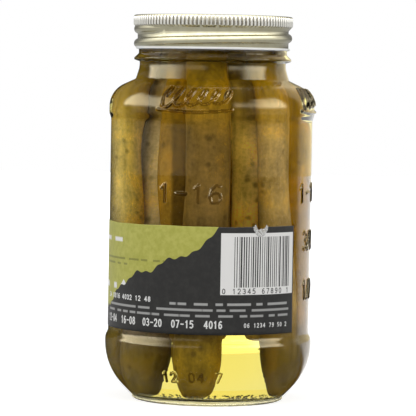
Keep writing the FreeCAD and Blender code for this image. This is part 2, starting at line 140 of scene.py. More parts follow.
class Paint:
    """One material, or the world, and the nodes in it."""

    def __init__(self, tree):
        self.tree = tree
        tree.nodes.clear()

    def fill(self, socket, value):
        if isinstance(value, Sum):
            self.tree.links.new(value.socket, socket)
        elif socket.type == "RGBA":
            socket.default_value = (*value, 1.0)
        else:
            socket.default_value = value

    def node(self, kind, settings, *values, out=0, **named):
        """Any node: its type, its settings, then its sockets in order or by name."""
        made = self.tree.nodes.new("ShaderNode" + kind)
        for name, value in settings.items():
            if name == "stops":
                self.set_stops(made.color_ramp, value)
            else:
                setattr(made, name, value)
        for socket, value in zip(made.inputs, values):
            self.fill(socket, value)
        for name, value in named.items():
            self.fill(made.inputs[name.replace("_", " ")], value)
        return Sum(self, made.outputs[out])

    def set_stops(self, ramp, stops):
        """The ramp's colours and their places."""
        while len(ramp.elements) < len(stops):
            ramp.elements.new(0.5)
        for element, (place, colour) in zip(ramp.elements, stops):
            element.position = place
            element.color = (*colour, 1.0)

    def blend(self, share, under, over):
        """The colour under, with this share of the colour over on it."""
        mix = self.tree.nodes.new("ShaderNodeMix")
        mix.data_type = "RGBA"
        for socket, value in zip([mix.inputs[0], mix.inputs[6], mix.inputs[7]], [share, under, over]):
            self.fill(socket, value)
        return Sum(self, mix.outputs[2])

    def shade(self, colour, by):
        """The colour made lighter or darker by a number."""
        return self.node("VectorMath", dict(operation="SCALE"), Vector=colour, Scale=by)

    def times(self, colour, factors):
        """The colour with each of its three parts multiplied."""
        return self.node("VectorMath", dict(operation="MULTIPLY"), colour, factors)

    def noise(self, place, scale, detail, rough=0.5):
        return self.node("TexNoise", {}, Vector=place, Scale=scale, Detail=detail, Roughness=rough)

    def stretched(self, place, by):
        return self.node("Mapping", {}, Vector=place, Scale=by)

    def object_place(self):
        return self.node("TexCoord", {}, out=3)

    def parts(self, place):
        split = self.tree.nodes.new("ShaderNodeSeparateXYZ")
        self.fill(split.inputs[0], place)
        return [Sum(self, socket) for socket in split.outputs]

    def attribute(self, name):
        """A named vector on the piece's own points."""
        return self.node("Attribute", dict(attribute_name=name), out=1)

    def rays(self):
        """Four numbers, each 1 for its own kind of ray: camera, glossy, mirror-sharp and through glass."""
        outputs = self.tree.nodes.new("ShaderNodeLightPath").outputs
        kinds = ("Camera", "Glossy", "Singular", "Transmission")
        return [Sum(self, outputs[f"Is {kind} Ray"]) for kind in kinds]

    def bump(self, height, strength, distance):
        return self.node("Bump", {}, Strength=strength, Distance=distance, Height=height)

    def surface(self, shader, volume=None):
        end = self.tree.nodes.new("ShaderNodeOutputMaterial")
        self.tree.links.new(shader.socket, end.inputs["Surface"])
        if volume is not None:
            self.tree.links.new(volume.socket, end.inputs["Volume"])

    def principled(self, **values):
        self.surface(self.node("BsdfPrincipled", {}, **values))


def material(name):
    made = bpy.data.materials.new(name)
    made.use_nodes = True
    return made, Paint(made.node_tree)


def clear_to_lamps(paint, shader, tint):
    """The shader, but lamps shine straight through it with a tint."""
    lamp_ray = paint.node("LightPath", {}, out=1)
    through = paint.node("BsdfTransparent", {}, tint)
    return paint.node("MixShader", {}, lamp_ray, shader, through)


def clear_body(paint, bend, shine, tint=(1.0, 1.0, 1.0)):
    """A clear shader; bend is its index, and shine is how much its face gives back."""
    return paint.node(
        "BsdfPrincipled", {},
        Base_Color=tint, Roughness=0.0, IOR=bend, Transmission_Weight=1.0, Specular_Tint=(shine, shine, shine),
    )


def glass_material(name, shine, tint=(1.0, 1.0, 1.0)):
    """Clear glass; where drink wets it, shine is 0 and little comes back from its face."""
    made, paint = material(name)
    paint.surface(clear_to_lamps(paint, clear_body(paint, 1.5, shine, tint), (0.97, 0.98, 0.97)))
    return made


def drink_material():
    """Yellow drink, which takes the blue out of light on its way through."""
    made, paint = material("yellow_drink")
    inside = paint.node("VolumeAbsorption", {}, (1.0, 0.915, 0.10), 24.0)
    paint.surface(clear_to_lamps(paint, clear_body(paint, 1.345, 0.0), (1.0, 1.0, 1.0)), inside)
    return made


def bubble_material():
    """Air seen from inside the drink, so its index is under 1."""
    made, paint = material("air_bubble")
    paint.surface(paint.node("BsdfGlass", {}, Color=(1.0, 1.0, 1.0), Roughness=0.0, IOR=0.75))
    return made


def skin_material():
    """Pickle skin: each pickle's own tint, mottled and streaked along its length, with dark warts."""
    made, paint = material("pickle_skin")
    place = paint.object_place()
    tint = paint.attribute("skin")
    streaks = paint.noise(paint.stretched(place, (1.0, 1.0, 0.16)), 240.0, 4.0, 0.6)
    patches = paint.noise(place, 70.0, 3.0, 0.55)
    speckle = paint.noise(place, 700.0, 2.0, 0.6)
    specks = paint.noise(paint.stretched(place, (1.0, 1.0, 0.7)), 2300.0, 1.0)
    level = streaks.ramp(0.25, 0.75) * 0.5 + patches.ramp(0.28, 0.72) * 0.5 + speckle.ramp(0.3, 0.7) * 0.25
    colour = paint.shade(tint, level * 0.95 + 0.42)
    colour = paint.blend(patches.ramp(0.5, 0.72) * 0.7, colour, paint.times(colour, (1.12, 0.94, 0.55)))
    gold = specks.ramp(0.58, 0.66) * patches.ramp(0.46, 0.62)
    colour = paint.blend(gold * 0.6, colour, paint.times(tint, (1.9, 1.8, 0.5)))
    cells = paint.node("TexVoronoi", dict(feature="F1"), Vector=place, Scale=190.0, Randomness=1.0)
    warts = (1.0 - cells.ramp(0.08, 0.38)) * paint.noise(place, 150.0, 1.0).ramp(0.46, 0.62)
    colour = paint.blend(warts * 0.52, colour, (0.022, 0.014, 0.004))
    paint.principled(
        Base_Color=colour, Roughness=0.5, IOR=1.36, Specular_IOR_Level=0.08,
        Normal=paint.bump(streaks + warts * 0.8, 0.35, 0.0006),
    )
    return made


def crumb_material():
    """Dark green and brown crumbs."""
    made, paint = material("herb_crumbs")
    speckle = paint.noise(paint.object_place(), 900.0, 2.0)
    colour = paint.node("ValToRGB", dict(stops=[
        (0.35, (0.020, 0.022, 0.006)), (0.6, (0.085, 0.085, 0.020)), (0.8, (0.20, 0.18, 0.05)),
    ]), speckle)
    paint.principled(Base_Color=colour, Roughness=0.6, Normal=paint.bump(speckle, 0.5, 0.0002))
    return made


def metal_material():
    """Pale gold lacquered tinplate, faintly drawn round and scuffed; a painted highlight makes its knurled
    crown pale and painted shade darkens the knurl valleys.
    """
    made, paint = material("gold_tinplate")
    place = paint.object_place()
    rings = paint.noise(paint.stretched(place, (0.06, 0.06, 1.0)), 5200.0, 2.0)
    scuffs = paint.noise(place, 240.0, 5.0, 0.65)
    x, y, z = paint.parts(place)
    ribs = (y.maths("ARCTAN2", x) * KNURLS + KNURL_SHIFT).maths("SINE") * 0.5 + 0.5
    crown = z.span(*((TOP_OF_CAP - drop) * MM for drop in CROWN_FADE))
    colour = paint.blend(scuffs.ramp(0.35, 0.75), (0.50, 0.475, 0.34), (0.445, 0.41, 0.28))
    # painted highlight: the knurled crown is made pale, near white, as where it catches light from above
    colour = paint.blend(crown * 0.92, colour, (0.98, 0.97, 0.90))
    # painted shade: the knurl valleys are darkened
    colour = paint.blend((1.0 - ribs) ** 4.0 * crown * 0.95, colour, (0.16, 0.13, 0.07))
    knurls = paint.node(
        "Bump", {},
        Strength=1.0, Distance=0.00045, Height=ribs * crown, Normal=paint.bump(rings, 0.04, 0.00005),
    )
    paint.principled(Base_Color=colour, Metallic=1.0, Roughness=scuffs * 0.14 + 0.13, Normal=knurls)
    return made


def plain_material(name, pale, deep, size, detail, rough):
    """A plain coat, faintly mottled between two near colours."""
    made, paint = material(name)
    mottle = paint.noise(paint.object_place(), size, detail)
    paint.principled(Base_Color=paint.blend(mottle, pale, deep), Roughness=mottle * 0.1 + rough)
    return made


def ink_material(name, pale, deep):
    """Printed ink, satin."""
    return plain_material(name, pale, deep, 900.0, 2.0, 0.32)


def film_material():
    """Clear film, with whitish creases painted where it is crumpled, as highlights on its folds."""
    made, paint = material("torn_film")
    creases = paint.noise(paint.object_place(), 1400.0, 4.0, 0.65)
    paint.principled(
        # painted highlights: the creases are made whitish
        Base_Color=paint.blend(creases, (0.60, 0.60, 0.58), (0.84, 0.84, 0.82)),
        Roughness=0.28, Alpha=creases.ramp(0.30, 0.62) * 0.75 + 0.15, Normal=paint.bump(creases, 0.6, 0.0003),
    )
    return made


# ---------------------------------------------------------------- label print
# places on the label are in millimetres: across from its right end, and up from its lower edge
PAPER, BAR_INK = (0.80, 0.79, 0.77), (0.030, 0.029, 0.028)
LIME_PALE, LIME_DEEP = (0.385, 0.378, 0.066), (0.470, 0.462, 0.104)
BLACK_DEEP, BLACK_PALE = (0.013, 0.0125, 0.0115), (0.023, 0.022, 0.020)

# rows of dashes: foot, height, first and last place across, size of a letter, seed, strength
ROWS_ON_BLACK = (
    (12.6, 1.3, 3.0, 60.0, 1.5, 17.0, 0.5), (10.1, 1.2, 3.0, 102.0, 1.5, 29.0, 0.45),
    (7.6, 1.2, 3.0, 102.0, 1.5, 43.0, 0.45),
)
DARK_ROWS_ON_LIME = ((30.6, 1.1, 62.0, 118.0, 1.5, 7.0, 0.5), (28.3, 1.1, 84.0, 118.0, 1.5, 13.0, 0.5))
PALE_ROWS_ON_LIME = ((38.2, 2.2, 88.0, 112.0, 2.4, 21.0, 1.0), (17.4, 3.0, 93.0, 122.0, 3.0, 33.0, 1.0))
ROWS_AT_THE_BACK = (
    (36.0, 3.6, 206.0, 238.0, 3.4, 91.0, 1.0), (29.6, 1.4, 206.0, 238.0, 1.6, 95.0, 1.0),
    (26.9, 1.4, 206.0, 238.0, 1.6, 99.0, 1.0), (9.4, 1.4, 206.0, 238.0, 1.6, 103.0, 1.0),
    (6.6, 1.4, 206.0, 238.0, 1.6, 107.0, 1.0),
)


def dashes(paint, across, up, low, tall, first, last, letter, seed):
    """A row of small plain dashes of uneven length, from first to last."""
    spacing = paint.node(
        "TexNoise", dict(noise_dimensions="1D"), W=across / (letter * 3.2) + seed * 3.7, Scale=1.0, Detail=0.0,
    )
    fade = 1.0 - (abs(up - (low + tall / 2)) / (tall / 2)) ** 4.0
    return fade.clamp() * spacing.ramp(0.36, 0.41) * across.between(first, last)


def dash_rows(paint, across, up, rows):
    """Several rows of dashes, each at its own strength."""
    return sum(dashes(paint, across, up, *row) * strength for *row, strength in rows).clamp()


def black_field(across, up):
    """1 under the rolling line that parts the two fields, and 0 over it."""
    def wave(turns, shift):
        return (across * turns + shift).maths("SINE")

    fall = across.ramp(36.0, 50.0) * 13.5 + across.ramp(50.0, 76.0) * 9.0 + across.ramp(72.0, 112.0) * 18.5
    front = 48.5 - fall + wave(0.42, 0.6) * 0.9 + wave(1.13, 2.0) * 0.5
    back = 12.0 + wave(0.11, 1.2) * 3.0 + wave(0.31, 0.0) * 1.2
    line = front + (back - front) * across.ramp(112.0, 135.0)
    return (line - up).ramp(-0.12, 0.12)


def bar_row(paint, across, up):
    """Upright bars of uneven width, one to each cell of the row."""
    cells = across * 0.92
    pick = paint.node("TexWhiteNoise", dict(noise_dimensions="1D"), W=cells.maths("FLOOR") + 11.0)
    return (cells.maths("FRACT") < pick * 0.55 + 0.22) * across.between(3.0, 32.6) * up.between(20.6, 42.4)


def roundel(across, up):
    """A pale disc in a pale ring, and three upright bars to stand on it."""
    over, rise = across - 178.0, up - 24.5
    reach = (over * over + rise * rise) ** 0.5
    bars = []
    for shift, tall in ((-6.4, 7.5), (0.0, 9.5), (6.4, 8.2)):
        aside, along = over - shift, (abs(rise) - tall).maths("MAXIMUM", 0.0)
        bars.append((aside * aside + along * along) ** 0.5 < 2.4)
    return (reach.between(16.2, 18.0) + (reach < 15.0)).clamp(), sum(bars)


def label_material():
    """Lime above and black below a rolling line, with a bar panel, rows of dashes and plain shapes.

    The third number that the label's points carry is the distance from its torn edge, or -1 on its back.
    """
    made, paint = material("label_print")
    across, up, edge = paint.parts(paint.attribute("print"))
    mottle = paint.noise(paint.object_place(), 420.0, 4.0, 0.6)
    field = black_field(across, up)
    on_lime = 1.0 - field
    disc, disc_bars = roundel(across, up)
    colour = paint.blend(
        field,
        paint.blend(mottle.ramp(0.3, 0.7), LIME_PALE, LIME_DEEP),
        paint.blend(mottle.ramp(0.35, 0.8), BLACK_DEEP, BLACK_PALE),
    )
    for share, over in (
        (across.between(0.6, 37.8) * up.between(17.4, 44.0), PAPER),
        (bar_row(paint, across, up), BAR_INK),
        (dash_rows(paint, across, up, ROWS_ON_BLACK), (0.74, 0.74, 0.72)),
        (dash_rows(paint, across, up, DARK_ROWS_ON_LIME) * on_lime, (0.05, 0.06, 0.012)),
        (dash_rows(paint, across, up, PALE_ROWS_ON_LIME) * on_lime, PAPER),
        ((abs(across - 86.6) + abs(up - 19.4) < 2.6) * on_lime, PAPER),
        (disc, PAPER),
        (disc_bars, (0.10, 0.15, 0.020)),
        (dash_rows(paint, across, up, ROWS_AT_THE_BACK), PAPER),
        ((1.0 - edge.ramp(0.18, 0.42)) * (edge > -0.5), (0.62, 0.60, 0.56)),
        (edge < -0.5, (0.60, 0.60, 0.58)),
    ):
        colour = paint.blend(share, colour, over)
    paint.principled(
        Base_Color=colour, Roughness=mottle * 0.18 + 0.30, Specular_IOR_Level=0.32,
        Normal=paint.bump(mottle, 0.10, 0.0001),
    )
    return made


# ---------------------------------------------------------------- outlines
def rounded(corners, step):
    """Points along a run of (across, up, fillet) corners, each fillet an arc cut every step degrees or less."""
    points = [np.array(corners[0][:2], float)]
    for before, here, after in zip(corners, corners[1:], corners[2:]):
        a, b, c = (np.array(p[:2], float) for p in (before, here, after))
        to_a, to_c = a - b, c - b
        to_a, to_c = to_a / np.linalg.norm(to_a), to_c / np.linalg.norm(to_c)
        turn = math.pi - math.acos(max(-1.0, min(1.0, float(to_a @ to_c))))
        if here[2] <= 0 or turn < 1e-3:
            points.append(b)
            continue
        reach = here[2] * math.tan(turn / 2)
        start = b + to_a * reach
        centre = b + (to_a + to_c) / np.linalg.norm(to_a + to_c) * here[2] / math.cos(turn / 2)
        steps = max(2, math.ceil(math.degrees(turn) / step))
        side = np.sign(np.cross(start - centre, b - centre))
        spoke = start - centre
        for k in range(steps + 1):
            t = side * turn * k / steps
            points.append(centre + np.array([
                spoke[0] * math.cos(t) - spoke[1] * math.sin(t),
                spoke[0] * math.sin(t) + spoke[1] * math.cos(t),
            ]))
    points.append(np.array(corners[-1][:2], float))
    kept = [points[0]]
    for p in points[1:]:
        if np.linalg.norm(p - kept[-1]) > 1e-4:
            kept.append(p)
    return np.array(kept)


def split_runs(points, pitch):
    """The same line with more points, no further apart than pitch gives for the distance along it."""
    least = 0.5
    out, gone = [points[0]], 0.0
    for a, b in zip(points, points[1:]):
        run, at = float(np.linalg.norm(b - a)), 0.0
        while run - at > 1e-6:
            step = pitch(gone + at)
            while step > least and pitch(gone + at + step) < step:
                step /= 2
            at += (run - at) / math.ceil((run - at) / step)
            out.append(a + (b - a) * at / run)
        gone += run
    return np.array(out)


def run_along(points):
    """The distance along the line at each of its points."""
    return np.concatenate([[0.0], np.cumsum(np.linalg.norm(np.diff(points, axis=0), axis=1))])


def outside_corners():
    """The outside of the glass, from the middle of its foot to its rim."""
    return [
        (0.0, PUNT_HEIGHT, 0), (PUNT_RADIUS, 0.0, 1.2), (BEARING_RADIUS, 0.0, 0),
        (BEARING_RADIUS, BEARING_EDGE, 0), (HEEL_RADIUS, HEEL_CORNER, 27.0),
        (HEEL_RADIUS, HEEL_TOP, 4.5), (PANEL_RADIUS, PANEL_LOW, 4.5), (PANEL_RADIUS, PANEL_HIGH, 4.5),
        (SHOULDER_RADIUS, SHOULDER_LOW, 4.5), (SHOULDER_RADIUS, SHOULDER_CORNER, 11.0),
        (NECK_FOOT_RADIUS, NECK_FOOT, 0.9), (NECK_RADIUS, NECK_LOW, 9.0), (NECK_RADIUS, COLLAR_LOW, 0.3),
        (COLLAR_RADIUS, COLLAR_LOW + 0.75, 0.44), (COLLAR_RADIUS, COLLAR_LOW + 1.65, 0.55),
        (FINISH_RADIUS, COLLAR_LOW + 3.55, 0.55), (FINISH_RADIUS, GLASS_HEIGHT, 1.0),
        (RIM_MIDDLE, GLASS_HEIGHT, 0),
    ]


def hollow_corners(inset, top):
    """The hollow of the glass from the middle of its floor up, taken in by inset all round."""
    wall, mouth, floor = INNER_RADIUS - inset, MOUTH_RADIUS - inset, FLOOR_THICKNESS + inset
    floor_edge = BEARING_RADIUS - HEEL_WALL / math.sin(HEEL_SLOPE) + (FLOOR_THICKNESS - BEARING_EDGE) - inset
    slope = math.tan(SHOULDER_SLOPE)
    shoulder = NECK_FOOT - SHOULDER_WALL / math.cos(SHOULDER_SLOPE) - (wall - NECK_FOOT_RADIUS) * slope - inset
    return [
        (0.0, floor + FLOOR_CROWN, 0), (floor_edge, floor, 6.0), (wall, floor + wall - floor_edge, 18.0),
        (wall, shoulder, 9.0), (mouth, shoulder + (wall - mouth) * slope, 7.0), (mouth, top, 0),
    ]


# ---------------------------------------------------------------- meshes
def mesh_piece(name, points, faces, materials, flat=False):
    """A mesh object from points in millimetres."""
    mesh = bpy.data.meshes.new(name)
    mesh.from_pydata((np.asarray(points, float) * MM).tolist(), [], faces)
    mesh.validate()
    mesh.polygons.foreach_set("use_smooth", [not flat] * len(mesh.polygons))
    for item in materials:
        mesh.materials.append(item)
    piece = bpy.data.objects.new(name, mesh)
    bpy.context.scene.collection.objects.link(piece)
    return piece


def add_marks(piece, name, values):
    """A named vector on each point of the piece, for its material."""
    store = piece.data.attributes.new(name, "FLOAT_VECTOR", "POINT")
    store.data.foreach_set("vector", np.asarray(values, float).ravel())


def grid_faces(rows, cols, closed=False):
    """Faces between rows of points; where closed, each row's end is joined to its start."""
    return [
        (i * cols + j, i * cols + (j + 1) % cols, (i + 1) * cols + (j + 1) % cols, (i + 1) * cols + j)
        for i in range(rows - 1) for j in range(cols if closed else cols - 1)
    ]


def sheet_faces(rows, cols, flip=False):
    """Faces of a thin closed sheet: a grid of points, then the same grid on its other side; flip turns them."""
    half, front = rows * cols, grid_faces(rows, cols)
    back = [(half + a, half + d, half + c, half + b) for a, b, c, d in front]
    loop = (
        list(range(cols)) + [i * cols + cols - 1 for i in range(1, rows)]
        + [(rows - 1) * cols + j for j in range(cols - 2, -1, -1)] + [i * cols for i in range(rows - 2, 0, -1)]
    )
    rim = [(a, half + a, half + b, b) for a, b in zip(loop, loop[1:] + loop[:1])]
    faces = front + back + rim
    return [(face[0], *face[:0:-1]) for face in faces] if flip else faces


def revolved(profile, angles):
    """Points and faces of a closed lathe shape whose profile starts and ends on the axis.

    The last faces are the two fans at the ends, in turns: one of the first, one of the last.
    """
    turn = np.radians(angles)
    around = len(turn)
    rings = profile[1:-1]
    points = np.stack([
        rings[:, :1] * np.cos(turn), rings[:, :1] * np.sin(turn), np.repeat(rings[:, 1:], around, axis=1),
    ], axis=2).reshape(-1, 3)
    poles = np.array([[0, 0, profile[0][1]], [0, 0, profile[-1][1]]], float)
    low, high = len(points), len(points) + 1
    faces = grid_faces(len(rings), around, closed=True)
    last = (len(rings) - 1) * around
    for j in range(around):
        k = (j + 1) % around
        faces += [(low, k, j), (last + j, last + k, high)]
    return np.concatenate([points, poles]), faces


def smooth(share):
    """The share held to 0 and 1, and eased at both."""
    share = np.clip(share, 0, 1)
    return share ** 2 * (3 - 2 * share)


def oval(middle, wide, tall, half=4):
    """Points round an upright oval in a digit's box, from its top; half of them go down one side."""
    turns = [t / half * math.pi for t in range(2 * half + 1)]
    return [(0.5 + wide * math.sin(turn), middle + tall * math.cos(turn)) for turn in turns]


# strokes of each sign in a box of 1 by 1
DIGITS = {
    "0": [oval(0.5, 0.42, 0.5, 6)],
    "1": [[(0.2, 0.78), (0.5, 1.0), (0.5, 0.0)]],
    "2": [[(0.05, 0.78), (0.25, 1.0), (0.65, 1.0), (0.85, 0.78), (0.8, 0.55), (0.05, 0.0), (0.9, 0.0)]],
    "3": [[
        (0.05, 0.9), (0.4, 1.0), (0.8, 0.85), (0.75, 0.6), (0.4, 0.54), (0.82, 0.42), (0.85, 0.15),
        (0.5, 0.0), (0.05, 0.1),
    ]],
    "4": [[(0.7, 0.0), (0.7, 1.0), (0.02, 0.3), (0.95, 0.3)]],
    "5": [[
        (0.85, 1.0), (0.18, 1.0), (0.1, 0.56), (0.5, 0.64), (0.84, 0.48), (0.86, 0.18), (0.5, 0.0),
        (0.06, 0.08),
    ]],
    "6": [[
        (0.8, 0.92), (0.5, 1.0), (0.15, 0.75), (0.05, 0.35), (0.2, 0.03), (0.6, 0.0), (0.85, 0.2),
        (0.8, 0.48), (0.45, 0.58), (0.1, 0.42),
    ]],
    "7": [[(0.05, 1.0), (0.88, 1.0), (0.35, 0.0)]],
    "8": [oval(0.76, 0.34, 0.24), oval(0.27, 0.42, 0.27)],
    "9": [[
        (0.2, 0.08), (0.5, 0.0), (0.85, 0.25), (0.95, 0.65), (0.8, 0.97), (0.4, 1.0), (0.15, 0.8),
        (0.2, 0.52), (0.55, 0.42), (0.9, 0.58),
    ]],
    "-": [[(0.12, 0.5), (0.85, 0.5)]],
    "/": [[(0.1, 0.0), (0.8, 1.0)]],
    " ": [],
}


def number_strokes(text, tall, wide, gap):
    """Strokes of a row of plain numbers, centred on 0, 0."""
    pitch = wide + gap
    left = -(len(text) * pitch - gap) / 2
    return [
        [(left + n * pitch + x * wide, (y - 0.5) * tall) for x, y in stroke]
        for n, sign in enumerate(text) for stroke in DIGITS[sign]
    ]


def flourish_strokes(wide, tall):
    """A scroll of loops that grow smaller, with a sweep under them."""
    loops = []
    for k in range(150):
        t = k / 149
        turn = t * 2 * math.pi * 5.5
        size = tall * (0.5 - 0.22 * t)
        up = size * math.sin(turn)
        loops.append((-wide / 2 + wide * t * 0.94 + 2.1 * math.cos(turn) + up * 0.45 + 1.6, up))
    sweep = [(-wide / 2 + wide * t / 12, -tall * 0.56 - 1.1 * math.sin(t / 12 * math.pi)) for t in range(13)]
    return [loops, sweep]


def stroke_distance(spots, strokes):
    """How far each spot is from the nearest stroke."""
    best = np.full(len(spots), 1e9)
    for stroke in strokes:
        for a, b in zip(stroke, stroke[1:]):
            a, b = np.array(a), np.array(b)
            run = b - a
            share = np.clip(((spots - a) @ run) / max(float(run @ run), 1e-9), 0, 1)
            best = np.minimum(best, np.linalg.norm(spots - a - share[:, None] * run, axis=1))
    return best


# ---------------------------------------------------------------- glass and drink
# strokes, angle right of the front, height on the wall, half the width of a stroke, relief
MARKS = [
    (flourish_strokes(32.0, 10.5), -10.0, 134.6, 0.66, 0.95),
    (flourish_strokes(32.0, 10.5), 80.0, 134.6, 0.66, 0.95),
    (number_strokes("1-16", 7.6, 6.0, 1.6), -11.5, 92.8, 0.52, 0.85),
    (number_strokes("1-16", 7.6, 6.0, 1.6), 78.5, 92.8, 0.66, 0.70),
    (number_strokes("3/4", 8.0, 4.6, 0.6), 76.0, 71.8, 0.62, 0.70),
    (number_strokes("1/2", 8.0, 4.6, 0.6), 76.0, 50.2, 0.62, 0.70),
    (number_strokes("12 04 7", 4.6, 2.7, 1.2), -9.0, 13.6, 0.34, 0.50),
]
# how closely the wall is cut going up: at the marks and a margin past them, elsewhere, and in the hollow
MARK_PITCH, MARK_MARGIN, PLAIN_PITCH, HOLLOW_PITCH = 0.44, 1.1, 3.0, 5.0
# and going round, in degrees: where the marks are, and elsewhere
MARK_FRONTS, MARK_TURN, PLAIN_TURN = ((-34, 14), (56, 104)), 0.54, 3.0
# how far up and down from its middle, and how far past its ends, a mark can lift the wall
MARK_UP, MARK_PAST = 8.0, 1.5
# the tint of the thick foot of the glass reaches up to here
FOOT_HIGH = 5.0
# the front of the jar is at this angle round its axis
FRONT = 270.0


def in_any(value, zones):
    """Whether the value is inside one of the (low, high) zones."""
    return any(low < value < high for low, high in zones)


def glass_fronts():
    """The angles right of the front at which the glass is cut, from the back round to the back."""
    fronts, angle = [], -180.0
    while angle < 180.0:
        fronts.append(angle)
        angle += MARK_TURN if in_any(angle, MARK_FRONTS) else PLAIN_TURN
    return np.array(fronts)


def raise_marks(points, outside, fronts, centres):
    """Lift the marks from the wall, and say how far up a stroke's side each point is, from 0 to 1."""
    rows = run_along(outside)
    tangent = np.gradient(outside, axis=0)
    tangent /= np.linalg.norm(tangent, axis=1)[:, None]
    relief = np.zeros(len(points))
    for (strokes, front, _, half, lift), (middle, radius) in zip(MARKS, centres):
        reach = max(max(abs(x) for x, y in s) for s in strokes) + MARK_PAST
        row_at = np.nonzero(abs(rows - middle) < MARK_UP)[0]
        col_at = np.nonzero(abs(fronts - front) < math.degrees(reach / radius))[0]
        grid_row, grid_col = (g.ravel() for g in np.meshgrid(row_at, col_at, indexing="ij"))
        spots = np.stack([np.radians(fronts[grid_col] - front) * radius, rows[grid_row] - middle], axis=1)
        share = smooth(1.0 - stroke_distance(spots, strokes) / (half * 1.35))
        turn = np.radians(fronts[grid_col] + FRONT)
        index = (grid_row - 1) * len(fronts) + grid_col
        out, up = tangent[grid_row, 1] * share * lift, -tangent[grid_row, 0] * share * lift
        relief[index] = share
        points[index] += np.stack([out * np.cos(turn), out * np.sin(turn), up], axis=1)
    return relief


def make_glass():
    """The jar in one closed mesh: outside with its raised marks, rim and hollow."""
    outer = rounded(outside_corners(), 6.0)
    way = run_along(outer)
    above = np.argmax(outer[:, 0] > 40)  # from here on the outline only goes up

    def place_of(height):
        """How far along the outline this height is, and the radius there."""
        return tuple(float(np.interp(height, outer[above:, 1], run[above:])) for run in (way, outer[:, 0]))

    centres = [place_of(mark[2]) for mark in MARKS]
    spreads = [max(abs(y) for stroke in mark[0] for x, y in stroke) + MARK_MARGIN for mark in MARKS]
    zones = [(middle - spread, middle + spread) for (middle, _), spread in zip(centres, spreads)]
    outside = split_runs(outer, lambda at: MARK_PITCH if in_any(at, zones) else PLAIN_PITCH)
    rim = [(RIM_MIDDLE, GLASS_HEIGHT, 0), (MOUTH_RADIUS, GLASS_HEIGHT, 1.0)]
    hollow = rounded(rim + hollow_corners(0.0, GLASS_HEIGHT)[-2::-1], 8.0)
    hollow = split_runs(hollow, lambda at: HOLLOW_PITCH)
    profile = np.concatenate([outside, hollow[1:]])
    fronts = glass_fronts()
    around = len(fronts)
    points, faces = revolved(profile, fronts + FRONT)
    relief = raise_marks(points, outside, fronts, centres)
    piece = mesh_piece("jar_glass", points, faces, [GLASS, WET_GLASS, EDGE_GLASS, FOOT_GLASS])
    share = np.array([relief[list(face)].mean() for face in faces])
    # the sides of the strokes get glass tinted dark amber: painted shade that outlines the raised marks
    edged = (share > 0.15) & (share < 0.86)  # the sides of the strokes
    ring = np.minimum(np.array([face[0] for face in faces]) // around, len(profile) - 3)
    wet = (ring >= len(outside)) & (profile[ring + 1, 1] < FILL_LEVEL)
    base = ring < np.argmax(outside[:, 1] > FOOT_HIGH)
    foot_fan, floor_fan = slice(-2 * around, None, 2), slice(-2 * around + 1, None, 2)
    wet[floor_fan], wet[foot_fan] = True, False
    base[foot_fan], base[floor_fan] = True, False
    piece.data.polygons.foreach_set("material_index", np.select([edged, base, wet], [2, 3, 1], 0))
    return piece


def make_drink():
    """The drink, a tenth of a millimetre into the wall all round, up to its level."""
    corners = hollow_corners(-FILL_SEAT, FILL_LEVEL) + [(0.0, FILL_LEVEL, 0)]
    profile = split_runs(rounded(corners, 6.0), lambda at: 4.0)
    points, faces = revolved(profile, np.arange(0, 360, 2.5))
    return mesh_piece("drink_fill", points, faces, [DRINK])
